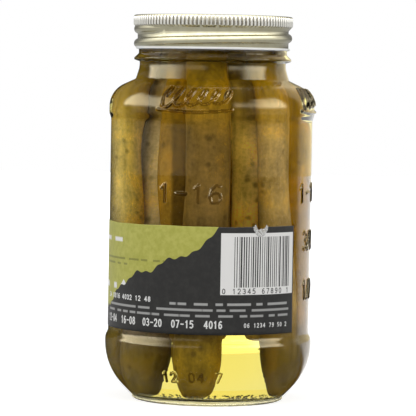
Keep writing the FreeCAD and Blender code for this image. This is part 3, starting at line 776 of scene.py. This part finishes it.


# ---------------------------------------------------------------- pickles
# each pickle: its tint, how light its foot is and where across its skin the painted shade from its neighbour
# starts, then its height, its place across and back, and its girth, from foot to head
PICKLES = [
    ((0.74, 0.56, 0.190), 1.1, None, [
        (5.2, -28.6, 7.4, 7.2), (20, -33.5, 2.6, 7.4), (80, -31.6, -2.4, 9.2), (115, -32.4, 1.6, 8.5),
        (147, -23.5, 0.4, 5.6), (157.0, -22.0, 0.3, 5.4),
    ]),
    ((0.56, 0.46, 0.560), 1.0, None, [
        (5.2, -24.4, -3.0, 9.0), (22, -22.5, -10.0, 9.9), (70, -17.0, 3.0, 8.8), (110, -14.4, 7.0, 8.6),
        (147, -10.4, 5.2, 6.6), (157.2, -10.0, 5.0, 6.2),
    ]),
    ((0.32, 0.183, 0.034), 1.6, -15.2, [
        (5.6, -5.0, -11.8, 5.4), (20, -7.0, -13.8, 6.2), (97, -11.3, -12.4, 8.5), (147, -10.9, -7.8, 5.8),
        (157.2, -10.4, -7.6, 5.6),
    ]),
    ((0.212, 0.125, 0.031), 1.9, None, [
        (4.9, -4.4, -26.4, 9.4), (20, -4.3, -30.6, 9.7), (60, -2.2, -30.4, 9.4), (97, -0.9, -30.8, 8.8),
        (130, -1.2, -27.0, 8.8), (147, -2.3, -19.7, 8.4), (157.2, -2.4, -18.4, 8.0),
    ]),
    ((0.90, 0.66, 0.340), 1.2, None, [
        (22.8, 18.4, -4.4, 6.0), (38, 16.6, -4.2, 7.0), (60, 15.4, -4.0, 7.8), (97, 15.6, -3.8, 8.2),
        (125, 14.2, -3.6, 7.8), (147, 6.4, -2.5, 6.4), (157.2, 5.6, -2.4, 6.2),
    ]),
    ((0.46, 0.30, 0.104), 1.0, None, [
        (5.2, 28.4, -9.6, 7.0), (20, 27.6, -13.0, 9.2), (48, 26.6, -15.6, 8.4), (97, 24.2, -19.4, 6.5),
        (130, 23.2, -16.2, 6.9), (147, 18.6, -10.4, 6.6), (157.0, 17.6, -9.4, 6.4),
    ]),
    ((0.36, 0.205, 0.004), 1.0, None, [
        (6.0, 25.0, 6.8, 6.0), (20, 28.0, 8.0, 7.4), (97, 29.0, 6.4, 10.6), (147, 17.8, 7.2, 6.2),
        (157.0, 16.8, 7.0, 6.0),
    ]),
    ((0.160, 0.108, 0.030), 1.0, None, [
        (5.2, -22.1, 14.5, 6.2), (20, -25.1, 17.4, 7.1), (97, -26.6, 18.2, 8.8), (147, -18.0, 13.6, 5.8),
        (157.0, -16.8, 12.8, 5.6),
    ]),
    ((0.62, 0.40, 0.030), 1.0, None, [
        (17.0, -1.8, 17.0, 6.4), (30, -1.0, 18.5, 7.2), (97, 12.4, 26.6, 9.6), (147, 7.2, 17.4, 6.6),
        (157.2, 6.8, 16.4, 6.4),
    ]),
    ((0.160, 0.112, 0.030), 1.0, None, [
        (18.0, -8.0, 28.6, 6.4), (30, -10.3, 29.9, 7.2), (97, -11.6, 30.0, 8.8), (147, -6.6, 18.8, 6.8),
        (157.2, -6.2, 17.8, 6.6),
    ]),
]
HEAD_TINT, FOOT_TINT = np.array((0.300, 0.168, 0.005)), np.array((0.128, 0.080, 0.005))


def smooth_noise(seed, size, rounds):
    """A gentle random pattern that closes on itself round one way, from -1 to 1."""
    pick = np.random.default_rng(seed)
    field = pick.standard_normal(size)
    for _ in range(rounds):
        field = (field + np.roll(field, 1, 0) + np.roll(field, -1, 0)) / 3
        edged = np.pad(field, ((0, 0), (1, 1)), mode="edge")
        field = (edged[:, :-2] + edged[:, 1:-1] + edged[:, 2:]) / 3
    return field / abs(field).max()


def eased(values, rounds):
    """The same run of values with its corners eased and its ends kept."""
    out = np.array(values, float)
    for _ in range(rounds):
        out[1:-1] = (out[:-2] + 2 * out[1:-1] + out[2:]) / 4
    return out


def pickle_skin(points, tint, light, dark_from):
    """The colour of each point: the pickle's tint, with painted shade near the jar's wall and where a neighbour
    shades it, and darker at its head and its foot.
    """
    across, height = points[:, :1], points[:, 2:]
    # painted shade: skin near the jar's wall is darkened
    skin = np.array(tint) * (1 - 0.6 * np.clip((abs(across) - 36.5) / 4, 0, 1))
    if dark_from is not None:
        # painted shadow: the skin is darkened past this place, as where a neighbouring pickle shades it
        skin *= 1 - 0.62 * np.clip((across - dark_from) / 1.2, 0, 1)
    skin += (HEAD_TINT - skin) * smooth((height - 112) / 26) * (0.86, 0.86, 0.98)
    skin *= 1 - 0.36 * np.clip((height - 138) / 8, 0, 1)
    return skin + (FOOT_TINT * light - skin) * smooth((44 - height) / 24) * (0.92, 0.92, 0.98)


def pickle_shape(index, knots):
    """One pickle: a bowed, uneven body with rounded ends and blunt warts."""
    around, along = 88, 90
    heights, across, back, girths = (np.array(column, float) for column in zip(*knots))
    low, high = heights[0], heights[-1]
    even = np.linspace(low, high, 200)
    lines = [eased(np.interp(even, heights, column), 160) for column in (across, back, girths)]
    t = 0.5 - 0.5 * np.cos(np.linspace(0, math.pi, along + 2))[1:-1]
    height = low + (high - low) * t
    middle_x, middle_y, girth = (np.interp(height, even, line) for line in lines)
    foot, head = (height - low) / (girth * 0.45), (high - height) / (girth * 0.8)
    ends = np.sqrt(1 - (1 - np.clip(foot, 0, 1)) ** 2) * np.sqrt(1 - (1 - np.clip(head, 0, 1)) ** 2)
    ends *= 0.52 + 0.48 * np.sin(np.clip((height - low) / 17.0, 0, 1) * math.pi / 2)
    slow = smooth_noise(index * 7 + 1, (around, along), 60)
    quick = smooth_noise(index * 7 + 2, (around, along), 6)
    turn = np.linspace(0, 2 * math.pi, around, endpoint=False)[:, None]
    ridge = 0.016 * np.cos(3 * turn + index) + 0.008 * np.cos(5 * turn + 2 * index + 3 * t[None, :])
    radius = (girth * ends)[None, :] * (1 + ridge + 0.03 * slow) + 0.22 * quick * ends[None, :]
    x = middle_x[None, :] + radius * np.cos(turn)
    y = middle_y[None, :] + radius * np.sin(turn)
    z = np.repeat(height[None, :], around, axis=0)
    points = np.stack([x, y, z], axis=2).reshape(-1, 3)
    tips = np.array([[middle_x[0], middle_y[0], low], [middle_x[-1], middle_y[-1], high]])
    foot_tip, head_tip = around * along, around * along + 1
    faces = []
    for i in range(around):
        k = (i + 1) % around
        for j in range(along - 1):
            faces.append((i * along + j, k * along + j, k * along + j + 1, i * along + j + 1))
        faces.append((foot_tip, k * along, i * along))
        faces.append((i * along + along - 1, k * along + along - 1, head_tip))
    return np.concatenate([points, tips]), faces


def make_pickles():
    """All the pickles in one mesh, each with its own skin."""
    points, faces, skins, count = [], [], [], 0
    for index, (tint, light, dark_from, knots) in enumerate(PICKLES):
        body, sides = pickle_shape(index, knots)
        points.append(body)
        skins.append(pickle_skin(body, tint, light, dark_from))
        faces.extend(tuple(v + count for v in face) for face in sides)
        count += len(body)
    piece = mesh_piece("pickles", np.concatenate(points), faces, [SKIN])
    add_marks(piece, "skin", np.concatenate(skins))
    return piece


# ---------------------------------------------------------------- label
def on_label(radius, across, up):
    """Points at this radius and this place on the label."""
    turn = np.radians(LABEL_END) - across / LABEL_RADIUS
    return np.stack([radius * np.cos(turn), radius * np.sin(turn), LABEL_LOW + up], axis=-1).reshape(-1, 3)


def make_label():
    """The label as a thin closed sheet round the panel, with its torn notch."""
    fine, coarse, fine_reach = 0.12, 0.8, 4.2
    across, at = [], 0.0
    while at < LABEL_RUN:
        across.append(at)
        at += fine if abs(at - TEAR_AT) < fine_reach else coarse
    across = np.array(across + [LABEL_RUN])
    pick = np.random.default_rng(5)
    jag = np.convolve(pick.standard_normal(len(across) + 4), np.ones(5) / 5, "valid") * 0.35
    spread = abs(across - TEAR_AT) / (TEAR_WIDTH / 2)
    notch = np.where(spread < 1, TEAR_DEPTH * (1 - spread ** TEAR_CURVE) * (1 + jag * 0.5), 0.0)
    wander = 0.10 * np.sin(across * 0.13) + 0.06 * np.sin(across * 0.31 + 1)
    top = LABEL_HEIGHT - notch + wander - 0.15
    share = np.concatenate([np.linspace(0, 0.82, 26), np.linspace(0.84, 1.0, 26)])
    up = share[:, None] * top[None, :]
    wide = np.repeat(across[None, :], len(share), axis=0)
    torn = abs(across - TEAR_AT) < 3.6
    rim = np.stack([across[torn], top[torn]], axis=1)
    spots = np.stack([wide.ravel(), up.ravel()], axis=1)
    edge = np.full(len(spots), 9.0)  # far from the tear, anything well over the torn rim's width
    near = abs(spots[:, 0] - TEAR_AT) < 6
    edge[near] = stroke_distance(spots[near], [rim.tolist()])
    ripple = 0.02 * smooth_noise(3, up.shape, 20)
    points = [on_label(LABEL_RADIUS + ripple, wide, up), on_label(LABEL_RADIUS - LABEL_SHEET, wide, up)]
    marks = [np.column_stack([spots, mark]) for mark in (edge, np.full(len(edge), -1.0))]
    piece = mesh_piece("label_wrap", np.concatenate(points), sheet_faces(*up.shape, flip=True), [LABEL])
    add_marks(piece, "print", np.concatenate(marks))
    return piece


# rows of plain numbers: text, left end in millimetres from the label's right end, foot, height, width,
# gap, half the width of a stroke, and whether its ink is white
NUMBER_ROWS = [
    ("0 12345 67890 1", 37.0, 17.9, 2.1, 1.35, 0.95, 0.16, False),
    ("12-04  16-08  03-20  07-15  4016", 102.4, 3.0, 3.0, 1.45, 0.62, 0.27, True),
    ("24 0816 4032 12 48", 102.2, 13.5, 1.9, 1.25, 0.60, 0.22, True),
    ("06 1234 79 50 2", 27.0, 3.3, 1.7, 0.95, 0.60, 0.15, True),
]
# the ink's underside and top, from the face of the label
INK_LOW, INK_HIGH = -0.03, 0.05


def make_numbers():
    """Rows of plain numbers as thin closed strokes that follow the label round."""
    # the six sides of a box, by its four lower and four upper corners
    box = [(0, 3, 2, 1), (4, 5, 6, 7), (0, 1, 5, 4), (1, 2, 6, 5), (2, 3, 7, 6), (3, 0, 4, 7)]
    points, faces, inks = [], [], []
    for text, left, foot, tall, wide, gap, half, white in NUMBER_ROWS:
        middle = left - (len(text) * (wide + gap) - gap) / 2
        for stroke in number_strokes(text, tall, wide, gap):
            for a, b in zip(stroke, stroke[1:]):
                a, b = np.array(a), np.array(b)
                way = (b - a) / max(np.linalg.norm(b - a), 1e-9) * half
                aside = np.array([-way[1], way[0]])
                way = way * 0.7
                ends = np.array([a - way - aside, b + way - aside, b + way + aside, a - way + aside])
                faces.extend(tuple(len(points) + v for v in face) for face in box)
                for lift in (INK_LOW, INK_HIGH):
                    up = foot + tall / 2 + ends[:, 1]
                    points.extend(on_label(LABEL_RADIUS + lift, middle - ends[:, 0], up))
                inks += [int(white)] * len(box)
    piece = mesh_piece("label_numbers", points, faces, [INK_DARK, INK_WHITE], flat=True)
    piece.data.polygons.foreach_set("material_index", inks)
    return piece


def make_film():
    """The scrap of clear film left crumpled in the label's torn notch."""
    size = (34, 16)
    u, v = np.meshgrid(np.linspace(-1, 1, size[0]), np.linspace(0, 1, size[1]), indexing="ij")
    crumple = smooth_noise(11, size, 2)
    across = TEAR_AT + u * (TEAR_WIDTH / 2 + 0.5) * (1 - 0.25 * v)
    foot = LABEL_HEIGHT - TEAR_DEPTH * (1 - abs(u) ** TEAR_CURVE) - 1.0
    up = foot + v * (2.2 + 0.8 * smooth_noise(12, size, 4) + 1.1 * (1 - abs(u)))
    points = [
        on_label(LABEL_RADIUS + lift + 0.32 * abs(crumple) + 0.25 * v, across, up) for lift in (0.10, 0.04)
    ]
    return mesh_piece("torn_film", np.concatenate(points), sheet_faces(*size), [FILM])


# ---------------------------------------------------------------- what repeats, by Geometry Nodes
class Grow:
    """A Geometry Nodes tree with named inputs, run once on a base mesh and made into a plain mesh."""

    def __init__(self, name, inputs):
        self.tree = bpy.data.node_groups.new(name, "GeometryNodeTree")
        face = self.tree.interface
        face.new_socket("Geometry", in_out="INPUT", socket_type="NodeSocketGeometry")
        face.new_socket("Geometry", in_out="OUTPUT", socket_type="NodeSocketGeometry")
        self.values = {}
        for label, (kind, value) in inputs.items():
            made = face.new_socket(label, in_out="INPUT", socket_type="NodeSocket" + kind)
            self.values[made.identifier] = value
        self.given = self.tree.nodes.new("NodeGroupInput").outputs

    def node(self, kind, settings, **named):
        """Any node: its type, its settings, then its inputs by name, or by place as _0 and _1."""
        made = self.tree.nodes.new(kind)
        for key, value in settings.items():
            setattr(made, key, value)
        for key, value in named.items():
            socket = made.inputs[int(key[1:])] if key[0] == "_" else made.inputs[key.replace("_", " ")]
            if isinstance(value, bpy.types.NodeSocket):
                self.tree.links.new(value, socket)
            else:
                socket.default_value = value
        return made.outputs[0]

    def grown(self, base, geometry, paint_with, name):
        """The tree's result on the base mesh, with every instance real and in one material."""
        real = self.node("GeometryNodeRealizeInstances", {}, Geometry=geometry)
        done = self.node("GeometryNodeSetMaterial", {}, Geometry=real, Material=paint_with)
        end = self.tree.nodes.new("NodeGroupOutput")
        self.tree.links.new(done, end.inputs[0])
        step = base.modifiers.new("grow", "NODES")
        step.node_group = self.tree
        for identifier, value in self.values.items():
            step[identifier] = value
        bpy.context.view_layer.update()
        seen = base.evaluated_get(bpy.context.evaluated_depsgraph_get())
        mesh = bpy.data.meshes.new_from_object(seen)
        base.modifiers.remove(step)
        bpy.data.objects.remove(base)
        mesh.name = name
        mesh.polygons.foreach_set("use_smooth", [True] * len(mesh.polygons))
        piece = bpy.data.objects.new(name, mesh)
        bpy.context.scene.collection.objects.link(piece)
        return piece


def sediment_bed():
    """The rim of the hollow's floor as an open sheet for the bits to lie on; its middle is left out."""
    lift, top, middle_rows = 0.35, 7.6, 6
    profile = rounded(hollow_corners(lift, FILL_LEVEL), 6.0)
    profile = split_runs(profile[profile[:, 1] < top], lambda at: 1.2)[middle_rows:]
    turn = np.radians(np.arange(0, 360, 4.0))
    points = [(r * math.cos(t), r * math.sin(t), z) for r, z in profile for t in turn]
    return mesh_piece("sediment_bed", points, grid_faces(len(profile), len(turn), closed=True), [])


def make_crumbs():
    """Dark bits of herb and skin lying on the floor of the jar."""
    tree = Grow("scatter_bits", {
        "Density": ("Float", 620000.0), "Seed": ("Int", 4), "Bit Size": ("Float", 0.62 * MM),
    })
    given = tree.given

    def picked(low, high):
        """Three random numbers for each bit."""
        settings = dict(data_type="FLOAT_VECTOR")
        return tree.node("FunctionNodeRandomValue", settings, _0=low, _1=high, Seed=given["Seed"])

    points = tree.node(
        "GeometryNodeDistributePointsOnFaces", dict(distribute_method="RANDOM"),
        Mesh=given["Geometry"], Density=given["Density"], Seed=given["Seed"],
    )
    bit = tree.node("GeometryNodeMeshIcoSphere", {}, Radius=given["Bit Size"], Subdivisions=1)
    size = picked((0.35, 0.25, 0.20), (1.60, 1.00, 0.75))
    turn = picked((-0.5, -0.5, 0.0), (0.5, 0.5, 6.28))
    spread = tree.node(
        "GeometryNodeInstanceOnPoints", {}, Points=points, Instance=bit, Rotation=turn, Scale=size,
    )
    return tree.grown(sediment_bed(), spread, CRUMBS, "herb_bits")


def make_stipple():
    """The ring of small moulded bumps round the edge of the glass foot."""
    tree = Grow("foot_bumps", {
        "Count": ("Int", 196), "Radius": ("Float", 33.15 * MM), "Height": ("Float", 0.62 * MM),
        "Bump Size": ("Float", 0.46 * MM),
    })
    given = tree.given
    ring = tree.node("GeometryNodeMeshCircle", {}, Vertices=given["Count"], Radius=given["Radius"])
    lift = tree.node("ShaderNodeCombineXYZ", {}, Z=given["Height"])
    raised = tree.node("GeometryNodeTransform", {}, Geometry=ring, Translation=lift)
    bump = tree.node("GeometryNodeMeshUVSphere", {}, Segments=8, Rings=5, Radius=given["Bump Size"])
    bumps = tree.node("GeometryNodeInstanceOnPoints", {}, Points=raised, Instance=bump)
    base = mesh_piece("ring_seed", [(0, 0, 0), (1, 0, 0), (0, 1, 0)], [(0, 1, 2)], [])
    return tree.grown(base, bumps, GLASS, "foot_bumps")


# each bubble: its place across, back and up, then its radius
BUBBLES = [
    (12.6, -23.8, 6.3, 1.25), (10.2, -24.4, 5.9, 0.8), (15.4, -22.6, 6.2, 0.95), (8.6, -25.0, 5.6, 0.5),
    (18.0, -20.4, 5.8, 0.6), (-14.8, -22.4, 5.9, 0.7), (-17.0, -20.8, 6.0, 0.5), (4.0, 14.6, 6.6, 0.8),
    (24.4, -31.0, 96.0, 0.4), (9.8, -36.8, 104.0, 0.35),
]


def make_bubbles():
    """A few small bubbles of air in the drink, most of them on the floor."""
    points, faces = [], []
    turns = [t / 12 * math.pi for t in range(13)]
    for x, y, z, radius in BUBBLES:
        profile = np.array([(radius * math.sin(turn), -radius * math.cos(turn)) for turn in turns])
        ball, sides = revolved(profile, np.arange(0, 360, 18.0))
        faces.extend(tuple(v + len(points) for v in face) for face in sides)
        points.extend((ball + (x, y, z)).tolist())
    return mesh_piece("air_bubbles", points, faces, [BUBBLE])


# ---------------------------------------------------------------- cap
def is_enamelled(face):
    """Whether a face of the cap is on its curl, on the inside of its skirt or on its underside."""
    x, y, z = face.center / MM
    far = math.hypot(x, y)
    inward = face.normal.x * x + face.normal.y * y < -0.1
    inside = inward and far < SKIRT_INSIDE and z < CAP_UNDERSIDE
    return z < CURL_HIGH or inside or (face.normal.z < -0.7 and far < DISC_INSIDE)


def make_cap():
    """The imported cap, merged and smoothed, with white enamel on its curl and inside."""
    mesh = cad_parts["cap"].data.copy()
    piece = bpy.data.objects.new("screw_cap", mesh)
    bpy.context.scene.collection.objects.link(piece)
    work = bmesh.new()
    work.from_mesh(mesh)
    bmesh.ops.remove_doubles(work, verts=work.verts, dist=1e-6)
    work.to_mesh(mesh)
    work.free()
    mesh.materials.clear()
    mesh.materials.append(METAL)
    mesh.materials.append(ENAMEL)
    for face in mesh.polygons:
        face.material_index = int(is_enamelled(face))
    mesh.set_sharp_from_angle(angle=math.radians(38))
    mesh.polygons.foreach_set("use_smooth", [True] * len(mesh.polygons))
    return piece


# ---------------------------------------------------------------- stage
# how bright the panels are that shine in the glass, and where the side ones stand, in degrees
SHINE_UPPER, SHINE_LOWER, SHINE_SIDE = 5.7, 0.7, 1.25
SIDE_PANEL = (112.0, 126.0, 165.0, 178.0)
WHITE = (1.0, 1.0, 1.0)
# the camera: its place, how far it looks down, turns and rolls in degrees, and its lens
CAMERA_AT, CAMERA_DOWN = (0.0, -1.146, 0.1439), 2.957
CAMERA_LENS, CAMERA_YAW, CAMERA_ROLL = 222.9, 0.049, 0.98
LAMP_AIM = (0, 0, 0.09)


def degrees_right(x, y):
    """How many degrees right of the front this way points."""
    return x.maths("ARCTAN2", 0.0 - y) * (180 / math.pi)


def make_world():
    """White all round to the eye; soft panels front left and right for gloss and light."""
    world = bpy.data.worlds.new("studio")
    bpy.context.scene.world = world
    world.use_nodes = True
    paint = Paint(world.node_tree)
    x, y, z = paint.parts(paint.node("TexCoord", {}, out=0))
    turn, rise = degrees_right(x, y), z.maths("ARCSINE") * (180 / math.pi)
    camera, glossy, mirror, passing = paint.rays()
    # the panels that show in glass
    wide = turn.span(-122.0, -112.0, -14.0, -4.0) * 0.26 + turn.span(22.0, 28.0, 86.0, 98.0) * 0.55
    close = turn.span(-122.0, -112.0, -70.0, -40.0) + turn.span(44.0, 66.0, 86.0, 98.0)
    low = turn.span(-106.0, -92.0, -40.0, -8.0) + turn.span(34.0, 58.0, 86.0, 98.0)
    upper = wide * rise.span(2.0, 12.0, 18.0, 34.0) + close * rise.span(1.0, 8.0, 32.0, 46.0)
    lower = low * rise.span(-14.0, -5.0, 4.0, 16.0)
    side = turn.span(*SIDE_PANEL) * rise.span(-30.0, -10.0, 30.0, 50.0)
    glass_shine = 0.04 + upper * SHINE_UPPER + lower * SHINE_LOWER + side * SHINE_SIDE
    # metal sees the room: brighter above, and dim behind
    ahead = turn.span(-150.0, -60.0, -10.0, 60.0) * rise.ramp(-4.0, 24.0)
    metal_shine = 0.84 + rise.ramp(-10.0, 4.0) * 0.46 + ahead * 0.06 + rise.ramp(14.0, 46.0) * 1.9
    metal_shine = metal_shine * (turn.span(-150.0, -105.0, 105.0, 150.0) * 0.8 + 0.2)
    shine = metal_shine + (glass_shine - metal_shine) * mirror
    # everything else gets soft light, and the eye sees white, straight or through glass
    soft = 0.35 + upper * 0.45 + lower * 0.2
    seen = camera.maths("MAXIMUM", passing)
    level = soft * (1.0 - glossy) + shine * glossy
    level = level * (1.0 - seen) + seen
    tint = paint.blend(mirror * (1.0 - passing), WHITE, (1.0, 0.88, 0.58))
    light = paint.node("Background", {}, tint, level)
    end = paint.tree.nodes.new("ShaderNodeOutputWorld")
    paint.tree.links.new(light.socket, end.inputs["Surface"])


def make_floor():
    """A round white floor that glows to the eye, more so far off, and is dark in the gloss of glass."""
    made, paint = material("floor_white")
    camera, _, mirror, passing = paint.rays()
    x, y, _ = paint.parts(paint.object_place())
    gloss = mirror * (1.0 - passing)
    plain = paint.node("BsdfDiffuse", {}, paint.blend(gloss, (0.82, 0.82, 0.82), (0.07, 0.065, 0.05)))
    direct = camera * (0.62 + (x * x + y * y).ramp(0.06, 0.8) * 0.4)
    level = direct + passing * 0.92 + gloss * degrees_right(x, y).span(*SIDE_PANEL) * SHINE_SIDE
    paint.surface(paint.node("AddShader", {}, plain, paint.node("Emission", {}, WHITE, level)))
    bpy.ops.mesh.primitive_circle_add(vertices=96, radius=2.6, fill_type="NGON", location=(0, 0, 0))
    floor = bpy.context.object
    floor.name = "floor"
    floor.data.materials.append(made)


def make_lamp(name, turn, rise, far, size, power):
    """A soft lamp aimed at the middle of the jar; turn is to the right of the front."""
    data = bpy.data.lights.new(name, "AREA")
    data.shape = "RECTANGLE"
    data.size, data.size_y = size
    data.energy = power
    lamp = bpy.data.objects.new(name, data)
    a, e = math.radians(turn), math.radians(rise)
    way = Vector((math.sin(a) * math.cos(e), -math.cos(a) * math.cos(e), math.sin(e)))
    lamp.location = Vector(LAMP_AIM) + way * far
    lamp.rotation_euler = (-way).to_track_quat("-Z", "Y").to_euler()
    lamp.visible_camera = False
    lamp.visible_transmission = False
    lamp.visible_glossy = False
    bpy.context.scene.collection.objects.link(lamp)


def make_camera():
    """A long lens in front of the jar, at the height of its neck, looking slightly down."""
    data = bpy.data.cameras.new("camera")
    data.lens, data.sensor_width = CAMERA_LENS, 36.0
    data.clip_start, data.clip_end = 0.05, 20.0
    camera = bpy.data.objects.new("camera", data)
    camera.location = CAMERA_AT
    tilt = Euler((math.radians(90 - CAMERA_DOWN), 0, 0)).to_matrix()
    yaw, roll = (Matrix.Rotation(math.radians(angle), 3, "Z") for angle in (CAMERA_YAW, CAMERA_ROLL))
    camera.rotation_euler = (yaw @ tilt @ roll).to_euler()
    bpy.context.scene.collection.objects.link(camera)
    bpy.context.scene.camera = camera


# ---------------------------------------------------------------- the whole jar
GLASS, WET_GLASS = glass_material("jar_glass", 1.0), glass_material("jar_glass_wet", 0.0)
# painted shade: the sides of the raised marks are glass tinted dark amber
EDGE_GLASS = glass_material("jar_glass_shaded_edge", 1.0, (0.36, 0.29, 0.18))
FOOT_GLASS = glass_material("jar_glass_foot", 1.0, (1.0, 0.92, 0.52))
DRINK, SKIN, CRUMBS, BUBBLE = drink_material(), skin_material(), crumb_material(), bubble_material()
METAL = metal_material()
ENAMEL = plain_material("white_enamel", (0.93, 0.93, 0.91), (0.88, 0.88, 0.86), 300.0, 3.0, 0.3)
INK_WHITE = ink_material("white_numbers", (0.80, 0.80, 0.78), (0.72, 0.72, 0.70))
INK_DARK = ink_material("dark_numbers", (0.040, 0.039, 0.038), (0.025, 0.024, 0.023))
FILM, LABEL = film_material(), label_material()

for piece, node, slot in (
    (make_glass(), "glass_jar", "glass"),
    (make_drink(), "drink", "drink"),
    (make_label(), "label", "label_print"),
    (make_cap(), "cap", "cap_metal"),
    (make_pickles(), None, "pickle_skin"),
    (make_crumbs(), None, "sediment"),
    (make_bubbles(), None, "drink"),
    (make_stipple(), None, "glass"),
    (make_numbers(), None, "label_print"),
    (make_film(), None, "label_print"),
):
    if node:
        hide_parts(node)
    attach(piece, "root")

make_world()
make_floor()
make_lamp("lamp_right", 48.0, 42.0, 1.3, (0.7, 0.5), 5.4)
make_lamp("lamp_left", -55.0, 35.0, 1.3, (0.8, 0.6), 5.4)
make_camera()

scene = bpy.context.scene
scene.view_settings.view_transform = "Standard"
